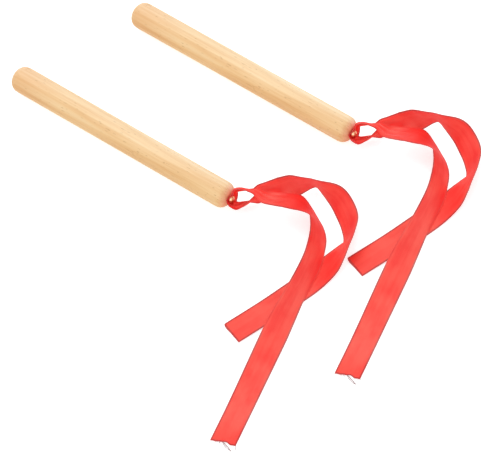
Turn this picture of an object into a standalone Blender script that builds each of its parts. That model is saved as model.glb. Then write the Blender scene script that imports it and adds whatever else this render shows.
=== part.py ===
# A pair of wooden rhythm sticks, each with a satin ribbon held to one end by a round-head brass screw.
# Metres, +Z up. The sticks lie along X on the floor with their ribbon ends toward +X.

import math

import bmesh
import bpy
import numpy as np
from mathutils import Matrix, Vector

# Stick
STICK_LENGTH = 0.200
STICK_DIAMETER = 0.020
NOSE_RADIUS = 0.007

# Screw
SHANK_DIAMETER = 0.003
SHANK_LENGTH = 0.018
POINT_LENGTH = 0.004
HEAD_DIAMETER = 0.0056
HEAD_HEIGHT = 0.0022
SLOT_WIDTH = 0.0008
SLOT_DEPTH = 0.0009
SLOT_TURN = math.radians(-20)

# Ribbon
RIBBON_WIDTH = 0.019
RIBBON_THICKNESS = 0.0005
SHORT_TAIL_LENGTH = 0.236
LONG_TAIL_LENGTH = 0.256
RING_STEP = 0.0026
RIBBON_COLUMNS = 3

# Place of the second stick beside the first
PAIR_ALONG = 0.0464
PAIR_ACROSS = 0.0874

# Fit
TOUCH_GAP = 0.0003
HOLE_GAP = 0.0003
HOLE_RUNOUT = 0.002
OVERRUN = 0.001

# Facets
STICK_SIDES = 48
NOSE_STEPS = 7
SCREW_SIDES = 32
HEAD_STEPS = 6

# Worked out from the sizes above
AXIS_HEIGHT = STICK_DIAMETER / 2 * math.cos(math.pi / STICK_SIDES)
HOLE_DIAMETER = SHANK_DIAMETER + 2 * HOLE_GAP
RIBBON_PLANE = TOUCH_GAP + RIBBON_THICKNESS / 2
HEAD_SEAT = 2 * TOUCH_GAP + RIBBON_THICKNESS

# Ribbon route, as shares of the ribbon's width: along, across and height of its middle line,
# then its turn in degrees, its spread, and how far its height follows the screw (1) or the floor (0).
# A spread under 1 is a gathered ribbon, narrower and as much thicker. The first list runs from
# the short tail to the screw, and the second from the screw to the long tail.
SHORT_ROUTE_SHARES = (
    (3.81, -2.88, 0.04, 0, 1.0, 0),
    (4.26, -1.70, 0.05, 2, 1.0, 0),
    (4.59, -0.93, 0.06, 2, 1.0, 0),
    (4.80, -0.18, 0.17, 14, 1.0, 0),
    (4.91, 0.34, 0.36, 40, 1.0, 0),
    (4.92, 0.81, 0.46, 57, 1.0, 0),
    (4.80, 1.15, 0.44, 54, 1.0, 0),
    (4.47, 1.56, 0.36, 40, 1.0, 0),
    (3.99, 1.90, 0.33, 36, 1.0, 0),
    (3.45, 2.13, 0.39, 46, 1.0, 0),
    (2.87, 2.16, 0.50, 72, 1.0, 0),
    (2.45, 2.14, 0.60, 97, 1.0, 0),
    (2.16, 1.99, 0.58, 89, 1.0, 0),
    (1.75, 1.68, 0.46, 63, 1.0, 0),
    (1.39, 1.32, 0.33, 38, 1.0, 0),
    (1.01, 1.04, 0.29, 38, 0.79, 0),
    (0.76, 0.83, 0.27, 55, 0.6, 0),
    (0.80, 0.62, 0.28, 81, 0.47, 0),
    (0.62, 0.37, 0.30, 116, 0.46, 0),
    (0.41, 0.07, 0.33, 153, 0.48, 0),
    (0.25, -0.12, 0.39, 164, 0.52, 0),
    (0.14, -0.18, 0.44, 131, 0.59, 0),
    (0.00, -0.14, -0.07, 102, 0.6, 1),
)
LONG_ROUTE_SHARES = (
    (0.00, 0.14, 0.07, 85, 0.6, 1),
    (0.10, 0.32, 0.20, 84, 0.5, 1),
    (0.32, 0.46, 0.30, 76, 0.45, 1),
    (0.58, 0.55, 0.32, 60, 0.42, 1),
    (0.86, 0.64, 0.35, 40, 0.45, 1),
    (1.24, 0.66, 0.87, 30, 0.61, 0),
    (1.60, 0.73, 0.90, 34, 0.82, 0),
    (2.06, 0.90, 0.89, 39, 1.0, 0),
    (2.47, 1.05, 0.98, 30, 1.0, 0),
    (2.75, 1.06, 0.86, 53, 1.0, 0),
    (3.04, 1.01, 0.72, 69, 1.0, 0),
    (3.28, 0.95, 0.64, 78, 1.0, 0),
    (3.53, 0.80, 0.56, 75, 1.0, 0),
    (3.86, 0.45, 0.55, 67, 1.0, 0),
    (4.07, 0.06, 0.58, 66, 1.0, 0),
    (4.26, -0.54, 0.60, 65, 1.0, 0),
    (4.49, -1.79, 0.57, 66, 1.0, 0),
    (4.68, -2.94, 0.41, 38, 1.0, 0),
    (4.77, -3.98, 0.21, 10, 1.0, 0),
    (4.92, -5.18, 0.05, 0, 1.0, 0),
    (5.26, -6.64, 0.04, 0, 1.0, 0),
)
CLAMP_SHARES = (0.0, 0.0, 0.0, 90, 0.6, 1)


def clear_scene():
    for item in list(bpy.data.objects):
        bpy.data.objects.remove(item)


def plain_material(name, colour, roughness, metallic):
    material = bpy.data.materials.new(name)
    material.use_nodes = True
    shader = material.node_tree.nodes["Principled BSDF"]
    shader.inputs["Base Color"].default_value = (*colour, 1.0)
    shader.inputs["Roughness"].default_value = roughness
    shader.inputs["Metallic"].default_value = metallic
    material.diffuse_color = (*colour, 1.0)
    return material


def pale_wood():
    return plain_material("pale_wood", (0.80, 0.55, 0.32), 0.45, 0.0)


def brass():
    return plain_material("brass", (0.76, 0.50, 0.22), 0.25, 1.0)


def red_satin():
    return plain_material("red_satin", (0.93, 0.06, 0.05), 0.35, 0.0)


def add_object(name, shape, material, parent):
    mesh = bpy.data.meshes.new(name)
    bmesh.ops.recalc_face_normals(shape, faces=shape.faces)
    shape.to_mesh(mesh)
    shape.free()
    mesh.materials.append(material)
    mesh.shade_smooth()
    mesh.set_sharp_from_angle(angle=math.radians(35))
    item = bpy.data.objects.new(name, mesh)
    item.parent = parent
    bpy.context.collection.objects.link(item)
    return item


def add_empty(name, place, parent):
    item = bpy.data.objects.new(name, None)
    item.location = place
    item.parent = parent
    bpy.context.collection.objects.link(item)
    return item


def turned_shape(profile, sides):
    # The profile is (x, radius) from one end of the axis to the other. A flat of the turned shape faces down.
    shape = bmesh.new()
    start = Matrix.Rotation(math.pi / sides - math.pi / 2, 4, "X")
    points = [shape.verts.new(start @ Vector((x, radius, 0))) for x, radius in profile]
    for first, second in zip(points, points[1:]):
        shape.edges.new((first, second))
    bmesh.ops.spin(
        shape, geom=shape.verts[:] + shape.edges[:], axis=(1, 0, 0), cent=(0, 0, 0),
        angle=2 * math.pi, steps=sides, use_merge=True,
    )
    bmesh.ops.remove_doubles(shape, verts=shape.verts, dist=TOUCH_GAP / 100)
    return shape


def cut_with(item, cutter):
    cutter.hide_render = True
    cutter.display_type = "WIRE"
    cut = item.modifiers.new(cutter.name, "BOOLEAN")
    cut.operation = "DIFFERENCE"
    cut.solver = "EXACT"
    cut.object = cutter


def nose_points(face_x, outward):
    # Quarter round from the flat of an end to the side of the stick.
    points = []
    for step in range(NOSE_STEPS + 1):
        angle = step / NOSE_STEPS * math.pi / 2
        x = face_x - outward * NOSE_RADIUS * (1 - math.cos(angle))
        points.append((x, STICK_DIAMETER / 2 - NOSE_RADIUS * (1 - math.sin(angle))))
    return points


def make_stick(number, unit, material):
    hole_end = HEAD_SEAT - SHANK_LENGTH - HOLE_RUNOUT
    profile = [(hole_end - HOLE_DIAMETER / 2, 0), (hole_end, HOLE_DIAMETER / 2), (0, HOLE_DIAMETER / 2)]
    profile += nose_points(0, 1)
    profile += reversed(nose_points(-STICK_LENGTH, -1))
    profile.append((-STICK_LENGTH, 0))
    return add_object(f"stick_{number}", turned_shape(profile, STICK_SIDES), material, unit)


def make_screw(number, unit, material):
    tip = HEAD_SEAT - SHANK_LENGTH
    profile = [(tip, 0), (tip + POINT_LENGTH, SHANK_DIAMETER / 2), (HEAD_SEAT, SHANK_DIAMETER / 2)]
    for step in range(HEAD_STEPS + 1):
        angle = step / HEAD_STEPS * math.pi / 2
        profile.append((HEAD_SEAT + HEAD_HEIGHT * math.sin(angle), HEAD_DIAMETER / 2 * math.cos(angle)))
    screw = add_object(f"screw_{number}", turned_shape(profile, SCREW_SIDES), material, unit)
    slot = bmesh.new()
    bmesh.ops.create_cube(slot, size=1)
    size = (SLOT_DEPTH + OVERRUN, HEAD_DIAMETER + 2 * OVERRUN, SLOT_WIDTH)
    bmesh.ops.scale(slot, vec=size, verts=slot.verts)
    middle = (HEAD_SEAT + HEAD_HEIGHT - SLOT_DEPTH / 2 + OVERRUN / 2, 0, 0)
    bmesh.ops.translate(slot, vec=middle, verts=slot.verts)
    turn = Matrix.Rotation(SLOT_TURN, 3, "X")
    bmesh.ops.rotate(slot, cent=(0, 0, 0), matrix=turn, verts=slot.verts)
    cut_with(screw, add_object(f"slot_cutter_{number}", slot, material, unit))
    return screw


def smooth_samples(rows, counts):
    # Smooth curve through the rows, as many steps to each stretch as counts says.
    rows = np.array(rows, float)
    knots = np.append(0, np.cumsum(np.linalg.norm(np.diff(rows[:, :3], axis=0), axis=1) ** 0.5))
    slopes = np.diff(rows, axis=0) / np.diff(knots)[:, None]
    tangents = np.vstack((slopes[:1], slopes, slopes[-1:]))
    weights = np.append(np.append(0, np.diff(knots)), 0)[:, None]
    joined = tangents[:-1] * weights[1:] + tangents[1:] * weights[:-1]
    joined = joined / (weights[1:] + weights[:-1])
    samples = []
    for index, count in enumerate(counts):
        reach = knots[index + 1] - knots[index]
        for step in range(count):
            part = step / count
            samples.append(
                (2 * part ** 3 - 3 * part ** 2 + 1) * rows[index]
                + (part ** 3 - 2 * part ** 2 + part) * reach * joined[index]
                + (3 * part ** 2 - 2 * part ** 3) * rows[index + 1]
                + (part ** 3 - part ** 2) * reach * joined[index + 1]
            )
    samples.append(rows[-1])
    return np.array(samples)


def route_rows(shares):
    # Rows of a route in metres, seen from the middle of the ribbon where the screw holds it.
    rows = []
    for along, across, height, turn, spread, hold in shares:
        rise = height * RIBBON_WIDTH - (1 - hold) * AXIS_HEIGHT
        rows.append((along * RIBBON_WIDTH, across * RIBBON_WIDTH, rise, math.radians(turn), spread))
    return rows


def curve_length(rows):
    fine = smooth_samples(rows, [12] * (len(rows) - 1))
    return np.linalg.norm(np.diff(fine[:, :3], axis=0), axis=1).sum()


def laid_on(rows, length):
    # The straight end of a tail, laid on from the route's last row until the tail has its length.
    last, before = np.array(rows[-1]), np.array(rows[-2])
    ahead = (last - before)[:3] * (1, 1, 0)
    rest = length - curve_length(rows)
    end = last.copy()
    end[:3] += ahead / np.linalg.norm(ahead) * rest
    return [*rows, tuple(end)]


def ribbon_faces():
    # Front and back of the ribbon, ring by ring from the short tail's end to the long tail's end.
    clamp = route_rows([CLAMP_SHARES])
    short = laid_on(clamp + route_rows(reversed(SHORT_ROUTE_SHARES)), SHORT_TAIL_LENGTH)
    long = laid_on(clamp + route_rows(LONG_ROUTE_SHARES), LONG_TAIL_LENGTH)
    rows = np.array(short[:0:-1] + long)
    spans = np.linalg.norm(np.diff(rows[:, :3], axis=0), axis=1)
    counts = [max(1, round(span / RING_STEP)) for span in spans]
    rings = smooth_samples(rows, counts)
    middle, turn, spread = rings[:, :3], rings[:, 3:4], np.clip(rings[:, 4:], 0, 1)
    ahead = np.gradient(middle, axis=0)
    ahead /= np.linalg.norm(ahead, axis=1)[:, None]
    level = np.cross(ahead, (0, 0, 1))
    level /= np.linalg.norm(level, axis=1)[:, None]
    width_way = np.cos(turn) * level + np.sin(turn) * np.cross(level, ahead)
    across = np.linspace(-1, 1, RIBBON_COLUMNS)[None, :, None] * RIBBON_WIDTH / 2
    grid = middle[:, None] + across * (width_way * spread)[:, None]
    normals = np.cross(np.gradient(grid, axis=0), np.gradient(grid, axis=1))
    normals /= np.linalg.norm(normals, axis=2)[:, :, None]
    half_thick = normals * RIBBON_THICKNESS / 2 / spread[:, None]
    return grid + half_thick, grid - half_thick


def ribbon_shape():
    front, back = ribbon_faces()
    outline = np.concatenate((front, back[:, ::-1]), axis=1)
    shape = bmesh.new()
    rings = [[shape.verts.new(point) for point in ring] for ring in outline]
    around = len(rings[0])
    for ring, after in zip(rings, rings[1:]):
        for index in range(around):
            beside = (index + 1) % around
            shape.faces.new((ring[index], ring[beside], after[beside], after[index]))
    for ring in (rings[0], rings[-1]):
        for index in range(around // 2 - 1):
            shape.faces.new((ring[index], ring[index + 1], ring[-2 - index], ring[-1 - index]))
    bmesh.ops.translate(shape, vec=(RIBBON_PLANE, 0, 0), verts=shape.verts)
    return shape


def make_ribbon(number, unit, material):
    ribbon = add_object(f"ribbon_{number}", ribbon_shape(), material, unit)
    reach = RIBBON_THICKNESS + OVERRUN
    profile = [(RIBBON_PLANE - reach, 0), (RIBBON_PLANE - reach, HOLE_DIAMETER / 2)]
    profile += [(RIBBON_PLANE + reach, HOLE_DIAMETER / 2), (RIBBON_PLANE + reach, 0)]
    cut_with(ribbon, add_object(f"hole_cutter_{number}", turned_shape(profile, SCREW_SIDES), material, unit))
    return ribbon


def make_unit(number, place, root, wood, metal, satin):
    unit = add_empty(f"unit_{number}", place, root)
    return [
        make_stick(number, unit, wood),
        make_screw(number, unit, metal),
        make_ribbon(number, unit, satin),
    ]


def centre_on_floor(root, pieces):
    # The origin goes to the middle of the pair's outline, on the floor that it lies on.
    bpy.context.view_layer.update()
    corners = [piece.matrix_world @ Vector(corner) for piece in pieces for corner in piece.bound_box]
    for axis in (0, 1):
        values = [corner[axis] for corner in corners]
        root.location[axis] = -(min(values) + max(values)) / 2


def build():
    clear_scene()
    root = add_empty("pair", (0, 0, 0), None)
    wood, metal, satin = pale_wood(), brass(), red_satin()
    pieces = make_unit(1, (0, 0, AXIS_HEIGHT), root, wood, metal, satin)
    pieces += make_unit(2, (PAIR_ALONG, PAIR_ACROSS, AXIS_HEIGHT), root, wood, metal, satin)
    centre_on_floor(root, pieces)


build()
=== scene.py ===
import math

import bmesh
import bpy
import numpy as np
from mathutils import Matrix, Vector


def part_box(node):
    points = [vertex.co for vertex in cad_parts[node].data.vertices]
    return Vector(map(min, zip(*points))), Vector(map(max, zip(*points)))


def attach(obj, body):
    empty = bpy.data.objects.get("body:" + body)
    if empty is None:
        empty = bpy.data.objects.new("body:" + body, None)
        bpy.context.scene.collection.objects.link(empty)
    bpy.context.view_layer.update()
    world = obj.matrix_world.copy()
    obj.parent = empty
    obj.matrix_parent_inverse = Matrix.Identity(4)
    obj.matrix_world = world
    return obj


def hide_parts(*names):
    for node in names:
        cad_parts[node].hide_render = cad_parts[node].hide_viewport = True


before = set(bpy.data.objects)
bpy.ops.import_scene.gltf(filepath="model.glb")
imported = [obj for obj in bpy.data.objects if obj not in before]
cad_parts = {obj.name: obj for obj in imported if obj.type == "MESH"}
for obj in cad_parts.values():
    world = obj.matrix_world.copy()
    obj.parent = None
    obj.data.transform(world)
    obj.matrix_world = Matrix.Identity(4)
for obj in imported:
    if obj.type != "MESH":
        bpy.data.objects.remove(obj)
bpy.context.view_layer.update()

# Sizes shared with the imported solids, in metres
STICK_DIAMETER = 0.020
STICK_LENGTH = 0.200
RIBBON_WIDTH = 0.019
SHORT_TAIL_LENGTH = 0.236
LONG_TAIL_LENGTH = 0.256
RIBBON_LENGTH = SHORT_TAIL_LENGTH + LONG_TAIL_LENGTH
AXIS_HEIGHT = (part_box("stick_1")[0].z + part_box("stick_1")[1].z) / 2
RIBBON_PLANE = 0.00055
HOLE_DIAMETER = 0.0036

# Cloth
CLOTH_THICKNESS = 0.00022
RING_STEP = 0.0012
COLUMNS = 25
PLEATS = 2.5
PLEAT_HEIGHT = 0.0009
# How far from the middle of the stick's end the pleats begin, and how much farther on they are full
PLEAT_START = 0.002
PLEAT_RISE = 0.008
# The least curl of an edge, so that a flat row too has a curl to divide by
FLAT_CURL = math.radians(0.01)
CREASE_ANGLE = math.radians(60)
HOLE_SIDES = 32
LENGTH_STEPS = 12
SELVEDGE_WIDTH = 0.0013

# How pale the red is along the ribbon, from the short tail's cut (0) to the long tail's cut (1). The tones
# follow the photo: painted sheen where the red is paler, painted shade where it is deeper.
SATIN_SHEEN_AND_SHADE = (
    (0.01, 0.45), (0.06, 0.65), (0.12, 0.85), (0.152, 0.25), (0.165, 0.45), (0.185, 0.85), (0.21, 0.70),
    (0.29, 0.70), (0.345, 0.88), (0.39, 0.50), (0.465, 0.50), (0.515, 0.30), (0.56, 0.60), (0.592, 0.20),
    (0.645, 0.60), (0.70, 1.0), (0.74, 0.80), (0.775, 1.0), (0.85, 0.88), (0.915, 0.75), (0.955, 0.95),
    (0.99, 0.35),
)
# Stretches of each edge whose dark line is faint in the photo, as shares of the ribbon's length
FAINT_ON_FIRST_EDGE = ((0.522, 0.595), (0.680, 0.759))
FAINT_ON_SECOND_EDGE = ((0.532, 0.549), (0.748, 0.827))
FAINT_LINE = 0.2
LINE_FADE = 0.004
# Stretches that show no gloss in the photo, as shares of the ribbon's length
DULL_STRETCHES = ((0.205, 0.245), (0.300, 0.345), (0.605, 0.655))
DULL_FADE = 0.012
GLOSS_ROUGHNESS = 0.42
DULL_ROUGHNESS = 0.75
# Depths of the fine relief in each surface
WEAVE_DEPTH = 0.00005
GRAIN_DEPTH = 0.00006
BRASS_DEPTH = 0.00002
WHITE = (1.0, 1.0, 1.0)
BLACK = (0.0, 0.0, 0.0)

# Loose threads: how much their fibres differ at the end and in their bow, as shares of their reach, and
# how late they turn sideways
THREAD_THICKNESS = 0.00022
THREAD_ROOT = 0.0006
THREAD_STEPS = 9
THREAD_SCATTER = 0.06
THREAD_BOW = 0.10
THREAD_TURN = 1.3
THREAD_SEED = 4

# Camera: the angles that it looks from, its roll, the point that it aims at, counted on the floor
# from the first stick's ribbon end, and how far off it stands, worked out from the sticks in the photo
AZIMUTH = math.radians(60.45)
ELEVATION = math.radians(60.0)
ROLL = math.radians(-26.8)
AIM = Vector((0.018094, -0.015203, 0))
DISTANCE = 4.0
FOCAL_LENGTH_MM = 419.5
SENSOR_WIDTH_MM = 36
VIEW_LIMIT = 100

# Floor and light
FLOOR_SIZE = 6
FLOOR_DROP = 0.0002
FLOOR_GLOW = 0.56
WORLD_LIGHT = 0.72
KEY_PLACE = (-1.0, 1.2, 2.3)
KEY_SIZE = 2.2
KEY_WATTS = 29
FILL_PLACE = (1.6, -1.4, 1.1)
FILL_SIZE = 1.6
FILL_WATTS = 12

# Ribbon route, as shares of the ribbon's width: along, across and height of its middle line,
# then its turn in degrees, its spread, how far its height follows the screw (1) or the floor (0),
# and the curl of its first and second edge toward the front, in degrees from the middle to the edge.
# Most rows were made by a scratch program that fitted the ribbon's edges to the photo.
SHORT_ROUTE_SHARES = (
    (3.81, -2.88, 0.04, 0, 1.0, 0, 0, 0),
    (4.31, -1.72, 0.08, -6, 1.0, 0, 0, 0),
    (4.59, -0.93, 0.08, -2, 1.0, 0, 0, 0),
    (4.81, -0.18, 0.18, 12, 1.0, 0, 0, 0),
    (4.91, 0.38, 0.35, 35, 1.0, 0, 0, 0),
    (4.92, 0.86, 0.45, 53, 1.0, 0, 0, 0),
    (4.81, 1.14, 0.43, 51, 1.0, 0, 0, 0),
    (4.49, 1.56, 0.37, 37, 1.0, 0, 0, 0),
    (3.98, 1.92, 0.34, 33, 1.0, 0, 0, 0),
    (3.48, 2.15, 0.39, 43, 1.0, 0, 0, 0),
    (2.89, 2.17, 0.50, 76, 1.0, 0, 0, 0),
    (2.43, 2.13, 0.59, 96, 1.0, 0, 0, 0),
    (2.17, 2.00, 0.57, 90, 1.0, 0, 0, 0),
    (1.74, 1.69, 0.46, 61, 1.0, 0, 0, 0),
    (1.38, 1.33, 0.35, 40, 1.0, 0, 0, 0),
    (0.97, 1.03, 0.30, 38, 0.79, 0, 0, 0),
    (0.72, 0.81, 0.28, 50, 0.65, 0, 0, 0),
    (0.79, 0.62, 0.29, 72, 0.49, 0, 0, 0),
    (0.62, 0.37, 0.30, 116, 0.46, 0, 0, 0),
    (0.41, 0.07, 0.33, 153, 0.48, 0, 0, 0),
    (0.25, -0.12, 0.39, 164, 0.52, 0, 20, 10),
    (0.14, -0.18, 0.44, 131, 0.59, 0, 50, 10),
    (0.00, -0.14, -0.07, 102, 0.6, 1, 70, 15),
)
LONG_ROUTE_SHARES = (
    (0.00, 0.14, 0.075, 85, 0.6, 1, 50, 25),
    (0.03, 0.32, 0.22, 84, 0.42, 1, 40, 60),
    (0.32, 0.46, 0.345, 76, 0.46, 1, 0, 20),
    (0.58, 0.55, 0.365, 60, 0.43, 1, 0, 0),
    (0.86, 0.64, 0.375, 40, 0.45, 1, 0, 0),
    (1.25, 0.62, 0.86, 28, 0.62, 0, 0, 0),
    (1.60, 0.72, 0.89, 32, 0.83, 0, 0, 0),
    (2.07, 0.91, 0.91, 32, 1.0, 0, 0, 0),
    (2.48, 1.04, 0.92, 31, 1.0, 0, 0, 0),
    (2.75, 1.07, 0.85, 45, 1.0, 0, 0, 0),
    (3.08, 1.05, 0.72, 65, 1.0, 0, 0, 0),
    (3.29, 0.98, 0.64, 75, 1.0, 0, 0, 0),
    (3.55, 0.80, 0.60, 71, 1.0, 0, 0, 0),
    (3.85, 0.47, 0.57, 64, 1.0, 0, 0, 0),
    (4.08, 0.06, 0.60, 62, 1.0, 0, 0, 0),
    (4.31, -0.54, 0.60, 60, 1.0, 0, 0, 0),
    (4.50, -1.78, 0.53, 60, 1.0, 0, 0, 0),
    (4.65, -2.95, 0.38, 42, 1.0, 0, 0, 0),
    (4.80, -4.06, 0.19, 19, 1.0, 0, 0, 0),
    (5.02, -5.26, 0.10, 8, 1.0, 0, 0, 0),
    (5.31, -6.71, 0.05, 3, 1.0, 0, 0, 0),
)
CLAMP_SHARES = (0.0, 0.0, 0.0, 90, 0.6, 1, 70, 20)

# How far each tail's cut end runs on past the square cut: place across the half width, then reach,
# as a share of the ribbon's width. They follow the cut's outline as it was measured in the photo.
SHORT_CUT_SHARES = ((-1, 0.085), (-0.85, 0.115), (-0.6, 0.125), (0, 0.077), (0.5, 0.050), (1, 0.020))
LONG_CUT_SHARES = (
    (-1, -0.010), (-0.78, 0.0), (-0.63, 0.030), (-0.47, 0.015), (-0.32, -0.020), (-0.16, -0.030),
    (0, -0.003), (0.15, 0.030), (0.3, 0.033), (0.46, 0.060), (0.61, 0.090), (0.77, 0.085), (1, 0.115),
)
CUT_FADE = 0.005

# Loose threads at the long tail's cut: place across the half width, then the reach ahead and
# toward the second edge, as shares of the ribbon's width, and how many fibres lie together
THREAD_SHARES = (
    (0.10, 0.29, -0.46, 7), (-0.97, 0.19, -0.06, 4), (0.36, 0.09, -0.055, 3), (0.42, 0.06, 0.03, 2),
    (-0.90, 0.07, 0.05, 1), (-0.55, 0.035, 0.02, 1), (0.62, 0.04, -0.03, 1), (0.93, 0.05, 0.035, 1),
    (0.05, 0.05, -0.02, 1), (-0.25, 0.04, -0.05, 1),
)


# Node helpers
def new_material(name):
    material = bpy.data.materials.new(name)
    material.use_nodes = True
    return material, material.node_tree, material.node_tree.nodes["Principled BSDF"]


def ribbon_measure(tree, name):
    # A length in metres that the ribbon's mesh carries: along it from the short tail's cut, or across it.
    node = tree.nodes.new("ShaderNodeAttribute")
    node.attribute_name = name
    return node.outputs["Fac"]


def math_node(tree, operation, *values):
    node = tree.nodes.new("ShaderNodeMath")
    node.operation = operation
    for socket, value in zip(node.inputs, values):
        if isinstance(value, (int, float)):
            socket.default_value = value
        else:
            tree.links.new(value, socket)
    return node.outputs[0]


def ramp(tree, factor, *stops):
    node = tree.nodes.new("ShaderNodeValToRGB")
    points = node.color_ramp.elements
    while len(points) < len(stops):
        points.new(1.0)
    for point, (place, colour) in zip(points, stops):
        point.position = place
        point.color = (*colour, 1.0)
    tree.links.new(factor, node.inputs[0])
    return node.outputs[0]


def level_ramp(tree, factor, stops):
    return ramp(tree, factor, *((stop, (level,) * 3) for stop, level in stops))


def mixed(tree, factor, first, second, blend="MIX"):
    node = tree.nodes.new("ShaderNodeMix")
    node.data_type = "RGBA"
    node.blend_type = blend
    for socket, value in ((node.inputs[0], factor), (node.inputs[6], first), (node.inputs[7], second)):
        if isinstance(value, (int, float)):
            socket.default_value = value
        elif isinstance(value, tuple):
            socket.default_value = (*value, 1.0)
        else:
            tree.links.new(value, socket)
    return node.outputs[2]


def noise_at(tree, place, scales, detail=3.0, roughness=0.5):
    # Noise whose features are 1/scale metres long along each axis.
    mapping = tree.nodes.new("ShaderNodeMapping")
    mapping.inputs["Scale"].default_value = scales
    tree.links.new(place, mapping.inputs["Vector"])
    noise = tree.nodes.new("ShaderNodeTexNoise")
    noise.inputs["Scale"].default_value = 1.0
    noise.inputs["Detail"].default_value = detail
    noise.inputs["Roughness"].default_value = roughness
    tree.links.new(mapping.outputs[0], noise.inputs["Vector"])
    return noise.outputs[0]


def bumped(tree, shader, height, distance, strength=1.0):
    bump = tree.nodes.new("ShaderNodeBump")
    bump.inputs["Strength"].default_value = strength
    bump.inputs["Distance"].default_value = distance
    tree.links.new(height, bump.inputs["Height"])
    tree.links.new(bump.outputs[0], shader.inputs["Normal"])


def stick_place(tree, start):
    # Places counted from the middle of the stick's ribbon end, so that each stick has the same grain.
    place = tree.nodes.new("ShaderNodeTexCoord").outputs["Object"]
    mapping = tree.nodes.new("ShaderNodeMapping")
    mapping.inputs["Location"].default_value = -start
    tree.links.new(place, mapping.inputs["Vector"])
    return mapping.outputs[0]


def pale_wood(name, start):
    material, tree, shader = new_material(name)
    place = stick_place(tree, start)
    bands = noise_at(tree, place, (9, 260, 160), 3.0, 0.55)
    fibres = noise_at(tree, place, (40, 2200, 2200), 2.0, 0.6)
    flecks = noise_at(tree, place, (210, 1900, 1900), 1.0, 0.4)
    pale, middling, deep = (0.98, 0.78, 0.53), (0.93, 0.69, 0.42), (0.84, 0.56, 0.30)
    tone = ramp(tree, bands, (0.34, deep), (0.52, middling), (0.68, pale))
    parts = tree.nodes.new("ShaderNodeSeparateXYZ")
    tree.links.new(place, parts.inputs[0])
    # Painted shade: the stick's side towards -y is darker and warmer than its other side.
    side = math_node(tree, "MULTIPLY_ADD", parts.outputs[1], 1 / STICK_DIAMETER, 0.5)
    side_shade = ramp(tree, side, (0.1, (0.94, 0.82, 0.64)), (0.7, WHITE))
    tone = mixed(tree, 1.0, tone, side_shade, "MULTIPLY")
    fibre_tone = ramp(tree, fibres, (0.35, (0.955, 0.93, 0.895)), (0.60, WHITE))
    fleck_tone = ramp(tree, flecks, (0.22, (0.50, 0.36, 0.24)), (0.30, WHITE))
    tone = mixed(tree, 0.7, tone, fibre_tone, "MULTIPLY")
    tone = mixed(tree, 0.8, tone, fleck_tone, "MULTIPLY")
    # The wood looks redder round the screw in the photo: painted red reflection of the ribbon, with painted
    # shade.
    from_screw = tree.nodes.new("ShaderNodeVectorMath")
    from_screw.operation = "LENGTH"
    tree.links.new(place, from_screw.inputs[0])
    from_screw = math_node(tree, "DIVIDE", from_screw.outputs["Value"], STICK_DIAMETER)
    ribbon_reflection_shade = ramp(tree, from_screw, (0.34, (0.95, 0.72, 0.74)), (0.52, WHITE))
    tone = mixed(tree, 1.0, tone, ribbon_reflection_shade, "MULTIPLY")
    # The far end looks darker in the photo.
    along = math_node(tree, "DIVIDE", parts.outputs[0], STICK_LENGTH)
    far_tone = ramp(tree, math_node(tree, "ABSOLUTE", along), (0.76, WHITE), (0.93, (0.95, 0.86, 0.81)))
    tone = mixed(tree, 1.0, tone, far_tone, "MULTIPLY")
    tree.links.new(tone, shader.inputs["Base Color"])
    shader.inputs["Roughness"].default_value = 0.48
    shader.inputs["Specular IOR Level"].default_value = 0.35
    bumped(tree, shader, fibres, GRAIN_DEPTH, 0.5)
    return material


def brass(name):
    material, tree, shader = new_material(name)
    place = tree.nodes.new("ShaderNodeTexCoord").outputs["Object"]
    wear = noise_at(tree, place, (900, 900, 900), 3.0, 0.6)
    tone = ramp(tree, wear, (0.35, (0.80, 0.52, 0.28)), (0.65, (0.95, 0.70, 0.42)))
    tree.links.new(tone, shader.inputs["Base Color"])
    shader.inputs["Metallic"].default_value = 1.0
    shader.inputs["Roughness"].default_value = 0.36
    bumped(tree, shader, wear, BRASS_DEPTH, 0.6)
    return material


def line_strength(tree, reach, stretches):
    # 1 where the selvedge has its dark line, and FAINT_LINE on the stretches where it is faint.
    stops = []
    for start, end in stretches:
        stops += [(start - LINE_FADE, 1.0), (start + LINE_FADE, FAINT_LINE)]
        stops += [(end - LINE_FADE, FAINT_LINE), (end + LINE_FADE, 1.0)]
    return level_ramp(tree, reach, stops)


def satin_roughness(tree, reach, inside):
    # Dull on the selvedge and on the dull stretches, and glossy elsewhere.
    stops = []
    for start, end in DULL_STRETCHES:
        stops += [(start - DULL_FADE, GLOSS_ROUGHNESS), (start, DULL_ROUGHNESS)]
        stops += [(end, DULL_ROUGHNESS), (end + DULL_FADE, GLOSS_ROUGHNESS)]
    roughness = level_ramp(tree, reach, stops)
    selvedge = ramp(tree, inside, (0.8, WHITE), (1.0, BLACK))
    return mixed(tree, selvedge, roughness, (DULL_ROUGHNESS,) * 3)


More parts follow.
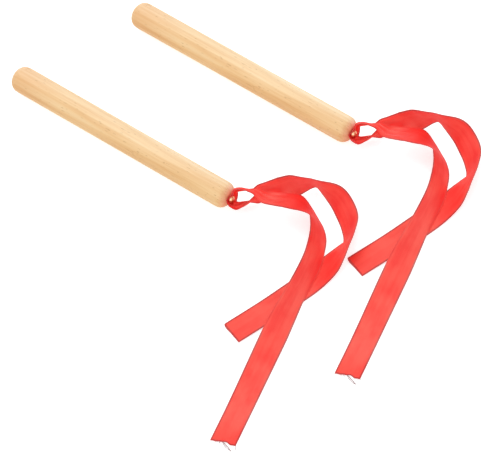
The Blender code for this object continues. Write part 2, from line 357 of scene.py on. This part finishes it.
def satin(name):
    material, tree, shader = new_material(name)
    across = ribbon_measure(tree, "across")
    along = ribbon_measure(tree, "along")
    join = tree.nodes.new("ShaderNodeCombineXYZ")
    tree.links.new(along, join.inputs[0])
    tree.links.new(across, join.inputs[1])
    place = join.outputs[0]
    warp = noise_at(tree, place, (60, 4200, 1), 1.0, 0.5)
    # Random pale patches and lengthwise streaks in the red: painted sheen.
    sheen_patches = noise_at(tree, place, (55, 90, 1), 2.0, 0.5)
    sheen_streaks = noise_at(tree, place, (12, 330, 1), 1.0, 0.5)
    sheen_patches = mixed(tree, 0.3, sheen_patches, sheen_streaks)
    edge = math_node(tree, "SUBTRACT", RIBBON_WIDTH / 2, math_node(tree, "ABSOLUTE", across))
    end = math_node(tree, "SUBTRACT", RIBBON_LENGTH, along)
    edge = math_node(tree, "MINIMUM", edge, math_node(tree, "MINIMUM", along, end))
    inside = math_node(tree, "DIVIDE", edge, SELVEDGE_WIDTH)
    # The red, paler on the painted sheen patches.
    tone = ramp(tree, sheen_patches, (0.40, (0.95, 0.040, 0.036)), (0.60, (1.0, 0.092, 0.070)))
    reach = math_node(tree, "DIVIDE", along, RIBBON_LENGTH)
    # Painted sheen and painted shade along the ribbon, paler and deeper stretch by stretch.
    red = ramp(tree, reach, *((spot, (0.97 + 0.03 * pale, pale, pale)) for spot, pale in SATIN_SHEEN_AND_SHADE))
    tone = mixed(tree, 1.0, tone, red, "MULTIPLY")
    warp_tone = ramp(tree, warp, (0.3, (0.93, 0.88, 0.88)), (0.6, WHITE))
    tone = mixed(tree, 0.7, tone, warp_tone, "MULTIPLY")
    edge_tone = ramp(tree, inside, (0.70, (0.57, 1.6, 1.9)), (1.0, WHITE))
    first_line = line_strength(tree, reach, FAINT_ON_FIRST_EDGE)
    second_line = line_strength(tree, reach, FAINT_ON_SECOND_EDGE)
    line = mixed(tree, math_node(tree, "GREATER_THAN", across, 0.0), first_line, second_line)
    tone = mixed(tree, line, tone, edge_tone, "MULTIPLY")
    tree.links.new(tone, shader.inputs["Base Color"])
    tree.links.new(satin_roughness(tree, reach, inside), shader.inputs["Roughness"])
    shader.inputs["Specular IOR Level"].default_value = 0.62
    shader.inputs["Specular Tint"].default_value = (1.0, 0.84, 0.66, 1)
    shader.inputs["Anisotropic"].default_value = 0.5
    shader.inputs["Sheen Weight"].default_value = 0.15
    shader.inputs["Sheen Roughness"].default_value = 0.4
    bumped(tree, shader, warp, WEAVE_DEPTH, 0.5)
    return material


def loose_thread(name):
    material, tree, shader = new_material(name)
    place = tree.nodes.new("ShaderNodeTexCoord").outputs["Object"]
    twist = noise_at(tree, place, (1500, 1500, 1500), 1.0, 0.5)
    tone = ramp(tree, twist, (0.4, (0.42, 0.30, 0.30)), (0.6, (0.60, 0.48, 0.48)))
    tree.links.new(tone, shader.inputs["Base Color"])
    shader.inputs["Roughness"].default_value = 0.5
    return material


# Ribbon shape
def smooth_samples(rows, counts):
    # Smooth curve through the rows, as many steps to each stretch as counts says.
    rows = np.array(rows, float)
    knots = np.append(0, np.cumsum(np.linalg.norm(np.diff(rows[:, :3], axis=0), axis=1) ** 0.5))
    slopes = np.diff(rows, axis=0) / np.diff(knots)[:, None]
    tangents = np.vstack((slopes[:1], slopes, slopes[-1:]))
    weights = np.append(np.append(0, np.diff(knots)), 0)[:, None]
    joined = tangents[:-1] * weights[1:] + tangents[1:] * weights[:-1]
    joined = joined / (weights[1:] + weights[:-1])
    samples = []
    for index, count in enumerate(counts):
        reach = knots[index + 1] - knots[index]
        for step in range(count):
            part = step / count
            samples.append(
                (2 * part ** 3 - 3 * part ** 2 + 1) * rows[index]
                + (part ** 3 - 2 * part ** 2 + part) * reach * joined[index]
                + (3 * part ** 2 - 2 * part ** 3) * rows[index + 1]
                + (part ** 3 - part ** 2) * reach * joined[index + 1]
            )
    samples.append(rows[-1])
    return np.array(samples)


def route_rows(shares):
    rows = []
    for along, across, height, turn, spread, hold, *curls in shares:
        rise = height * RIBBON_WIDTH + hold * AXIS_HEIGHT
        angles = [math.radians(angle) for angle in (turn, *curls)]
        rows.append((along * RIBBON_WIDTH, across * RIBBON_WIDTH, rise, angles[0], spread, *angles[1:]))
    return rows


def curve_length(rows):
    fine = smooth_samples(rows, [LENGTH_STEPS] * (len(rows) - 1))
    return np.linalg.norm(np.diff(fine[:, :3], axis=0), axis=1).sum()


def laid_on(rows, length):
    # The straight end of a tail, laid on from the route's last row until the tail has its length.
    last, before = np.array(rows[-1]), np.array(rows[-2])
    ahead = (last - before)[:3] * (1, 1, 0)
    end = last.copy()
    end[:3] += ahead / np.linalg.norm(ahead) * (length - curve_length(rows))
    return [*rows, tuple(end)]


def ribbon_rings():
    clamp = route_rows([CLAMP_SHARES])
    short = laid_on(clamp + route_rows(reversed(SHORT_ROUTE_SHARES)), SHORT_TAIL_LENGTH)
    long = laid_on(clamp + route_rows(LONG_ROUTE_SHARES), LONG_TAIL_LENGTH)
    rows = np.array(short[:0:-1] + long)
    spans = np.linalg.norm(np.diff(rows[:, :3], axis=0), axis=1)
    return smooth_samples(rows, [max(1, round(span / RING_STEP)) for span in spans])


def unit_vectors(vectors):
    return vectors / np.linalg.norm(vectors, axis=-1, keepdims=True)


def clamp_fade(middle):
    # The screw presses the pleats flat under its head.
    away = np.linalg.norm(middle - np.array((0, 0, AXIS_HEIGHT)), axis=1)[:, None]
    return np.clip((away - PLEAT_START) / PLEAT_RISE, 0, 1)


def ribbon_grid():
    # Middle surface of the cloth: rings along the ribbon, columns across it.
    rings = ribbon_rings()
    middle, turn = rings[:, :3], rings[:, 3:4]
    spread = np.clip(rings[:, 4:5], 0, 1)
    ahead = unit_vectors(np.gradient(middle, axis=0))
    level = unit_vectors(np.cross(ahead, (0, 0, 1)))
    width_way = np.cos(turn) * level + np.sin(turn) * np.cross(level, ahead)
    front = np.cross(ahead, width_way)
    share = np.linspace(-1, 1, COLUMNS)[None, :]
    curl = np.maximum(np.where(share < 0, rings[:, 5:6], rings[:, 6:7]), FLAT_CURL)
    half = RIBBON_WIDTH / 2 * spread
    sideways = half * np.sin(curl * share) / curl
    forward = half * (1 - np.cos(curl * share)) / curl
    pleat = PLEAT_HEIGHT * np.sqrt(1 - spread ** 2) * np.sin(math.pi * PLEATS * share)
    pleat = pleat * clamp_fade(middle)
    grid = middle[:, None] + sideways[:, :, None] * width_way[:, None]
    grid = grid + (forward + pleat)[:, :, None] * front[:, None]
    grid[:, :, 0] += RIBBON_PLANE
    length = np.append(0, np.cumsum(np.linalg.norm(np.diff(middle, axis=0), axis=1)))
    for table, past, way in ((SHORT_CUT_SHARES, length, -1), (LONG_CUT_SHARES, length[-1] - length, 1)):
        reach = np.interp(share[0], *zip(*table)) * RIBBON_WIDTH
        fade = np.clip(1 - past / CUT_FADE, 0, 1)[:, None] * reach[None, :]
        grid += way * fade[:, :, None] * ahead[:, None]
    return grid, length, share[0] * RIBBON_WIDTH / 2


def ribbon_mesh(name, start):
    grid, length, across = ribbon_grid()
    normals = unit_vectors(np.cross(np.gradient(grid, axis=0), np.gradient(grid, axis=1)))
    faces = (grid + normals * CLOTH_THICKNESS / 2, grid - normals * CLOTH_THICKNESS / 2)
    outline = np.concatenate((faces[0], faces[1][:, ::-1]), axis=1) + np.array((start.x, start.y, 0))
    across = np.concatenate((across, across[::-1]))
    shape = bmesh.new()
    along_layer = shape.verts.layers.float.new("along")
    across_layer = shape.verts.layers.float.new("across")
    rings = []
    for ring, reach in zip(outline, length):
        row = [shape.verts.new(point) for point in ring]
        for vertex, side in zip(row, across):
            vertex[along_layer] = reach
            vertex[across_layer] = side
        rings.append(row)
    around = len(rings[0])
    for ring, after in zip(rings, rings[1:]):
        for index in range(around):
            beside = (index + 1) % around
            shape.faces.new((ring[index], ring[beside], after[beside], after[index]))
    for ring in (rings[0], rings[-1]):
        for index in range(around // 2 - 1):
            shape.faces.new((ring[index], ring[index + 1], ring[-2 - index], ring[-1 - index]))
    bmesh.ops.recalc_face_normals(shape, faces=shape.faces)
    mesh = bpy.data.meshes.new(name)
    shape.to_mesh(mesh)
    shape.free()
    mesh.shade_smooth()
    mesh.set_sharp_from_angle(angle=CREASE_ANGLE)
    return mesh


def finished_mesh(item, name):
    # The item's mesh with its modifiers and bevels applied.
    bpy.context.view_layer.update()
    made = item.evaluated_get(bpy.context.evaluated_depsgraph_get())
    mesh = bpy.data.meshes.new_from_object(made)
    mesh.name = name
    return mesh


def make_ribbon(number, start, material):
    name = f"satin_ribbon_{number}"
    ribbon = bpy.data.objects.new(name, ribbon_mesh(name, start))
    bpy.context.collection.objects.link(ribbon)
    ribbon.data.materials.append(material)
    bpy.ops.mesh.primitive_cylinder_add(
        vertices=HOLE_SIDES, radius=HOLE_DIAMETER / 2, depth=4 * RIBBON_PLANE,
        location=start + Vector((RIBBON_PLANE, 0, 0)), rotation=(0, math.pi / 2, 0),
    )
    cutter = bpy.context.object
    cut = ribbon.modifiers.new("screw_hole", "BOOLEAN")
    cut.solver = "EXACT"
    cut.object = cutter
    mesh = finished_mesh(ribbon, name)
    ribbon.modifiers.clear()
    ribbon.data = mesh
    bpy.data.objects.remove(cutter)
    return ribbon


def thread_lines(start):
    # Fibres that start in the long tail's cut and sink to the floor, a little apart at their ends.
    grid = ribbon_grid()[0] + np.array((start.x, start.y, 0))
    ahead = Vector(grid[-1, COLUMNS // 2] - grid[-2, COLUMNS // 2]).normalized()
    aside = Vector(grid[-1, -1] - grid[-1, 0]).normalized()
    random = np.random.default_rng(THREAD_SEED)
    lines = []
    for place, forth, over, fibres in THREAD_SHARES:
        column = (place + 1) / 2 * (COLUMNS - 1)
        first = Vector(grid[-1, round(column)]) - ahead * THREAD_ROOT
        for _ in range(fibres):
            scatter = [random.normal(0, THREAD_SCATTER) for _ in range(2)]
            bow = random.normal(0, THREAD_BOW)
            line = []
            for part in np.linspace(0, 1, THREAD_STEPS):
                forward = (forth + scatter[0] * forth * part) * part + bow * forth * math.sin(math.pi * part)
                sideways = (over + scatter[1] * forth) * part ** THREAD_TURN
                point = first + (ahead * forward + aside * sideways) * RIBBON_WIDTH
                point.z = first.z + (THREAD_THICKNESS - first.z) * part
                line.append(point)
            lines.append(line)
    return lines


def make_threads(number, start, material):
    name = f"frayed_threads_{number}"
    curve = bpy.data.curves.new(name, "CURVE")
    curve.dimensions = "3D"
    curve.bevel_depth = THREAD_THICKNESS / 2
    curve.bevel_resolution = 1
    curve.use_fill_caps = True
    for line in thread_lines(start):
        spline = curve.splines.new("POLY")
        spline.points.add(len(line) - 1)
        for point, place in zip(spline.points, line):
            point.co = (*place, 1)
    drawn = bpy.data.objects.new(name, curve)
    bpy.context.collection.objects.link(drawn)
    mesh = finished_mesh(drawn, name)
    bpy.data.objects.remove(drawn)
    threads = bpy.data.objects.new(name, mesh)
    bpy.context.collection.objects.link(threads)
    mesh.materials.append(material)
    mesh.shade_smooth()
    return threads


# Studio
def seen_directly(tree):
    # 1 for what the camera sees straight on, in a gloss or through something clear, and 0 for light.
    paths = tree.nodes.new("ShaderNodeLightPath")
    seen = math_node(tree, "MAXIMUM", paths.outputs["Is Camera Ray"], paths.outputs["Is Glossy Ray"])
    return math_node(tree, "MAXIMUM", seen, paths.outputs["Is Transmission Ray"])


def make_floor():
    bpy.ops.mesh.primitive_plane_add(size=FLOOR_SIZE, location=(0, 0, -FLOOR_DROP))
    floor = bpy.context.object
    floor.name = "floor"
    material, tree, shader = new_material("floor_white")
    shader.inputs["Base Color"].default_value = (0.90, 0.90, 0.90, 1)
    shader.inputs["Roughness"].default_value = 0.9
    shader.inputs["Specular IOR Level"].default_value = 0.1
    glow = tree.nodes.new("ShaderNodeEmission")
    tree.links.new(math_node(tree, "MULTIPLY", seen_directly(tree), FLOOR_GLOW), glow.inputs["Strength"])
    join = tree.nodes.new("ShaderNodeAddShader")
    tree.links.new(shader.outputs[0], join.inputs[0])
    tree.links.new(glow.outputs[0], join.inputs[1])
    tree.links.new(join.outputs[0], tree.nodes["Material Output"].inputs["Surface"])
    floor.data.materials.append(material)


def make_world():
    world = bpy.data.worlds.new("studio")
    bpy.context.scene.world = world
    world.use_nodes = True
    tree = world.node_tree
    background = tree.nodes["Background"]
    background.inputs["Color"].default_value = (1, 1, 1, 1)
    strength = math_node(tree, "MULTIPLY_ADD", seen_directly(tree), 1 - WORLD_LIGHT, WORLD_LIGHT)
    tree.links.new(strength, background.inputs["Strength"])


def add_lamp(name, place, size, power):
    lamp = bpy.data.lights.new(name, "AREA")
    lamp.size = size
    lamp.energy = power
    item = bpy.data.objects.new(name, lamp)
    item.location = place
    item.rotation_euler = (-Vector(place)).to_track_quat("-Z", "Y").to_euler()
    bpy.context.collection.objects.link(item)


def make_camera():
    camera = bpy.data.objects.new("camera", bpy.data.cameras.new("camera"))
    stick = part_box("stick_1")
    aim = AIM + Vector((stick[1].x, (stick[0].y + stick[1].y) / 2, 0))
    turn = Matrix.Rotation(AZIMUTH, 3, "Z") @ Matrix.Rotation(math.pi / 2 - ELEVATION, 3, "X")
    turn = turn @ Matrix.Rotation(ROLL, 3, "Z")
    camera.matrix_world = Matrix.Translation(aim + turn @ Vector((0, 0, DISTANCE))) @ turn.to_4x4()
    camera.data.lens = FOCAL_LENGTH_MM
    camera.data.sensor_width = SENSOR_WIDTH_MM
    camera.data.clip_end = VIEW_LIMIT
    bpy.context.collection.objects.link(camera)
    bpy.context.scene.camera = camera


def dress_unit(number, body, metal, cloth, thread):
    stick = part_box(f"stick_{number}")
    start = Vector((stick[1].x, (stick[0].y + stick[1].y) / 2, AXIS_HEIGHT))
    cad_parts[f"stick_{number}"].data.materials[0] = pale_wood(f"pale_wood_{number}", start)
    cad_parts[f"screw_{number}"].data.materials[0] = metal
    ribbon = make_ribbon(number, start, cloth)
    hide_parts(f"ribbon_{number}")
    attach(ribbon, body)
    threads = make_threads(number, start, thread)
    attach(threads, body)


def build():
    make_camera()
    metal, cloth, thread = brass("brass"), satin("red_satin"), loose_thread("loose_thread")
    dress_unit(1, "first_stick", metal, cloth, thread)
    dress_unit(2, "second_stick", metal, cloth, thread)
    make_floor()
    make_world()
    add_lamp("key", KEY_PLACE, KEY_SIZE, KEY_WATTS)
    add_lamp("fill", FILL_PLACE, FILL_SIZE, FILL_WATTS)
    bpy.context.scene.view_settings.view_transform = "Standard"


build()
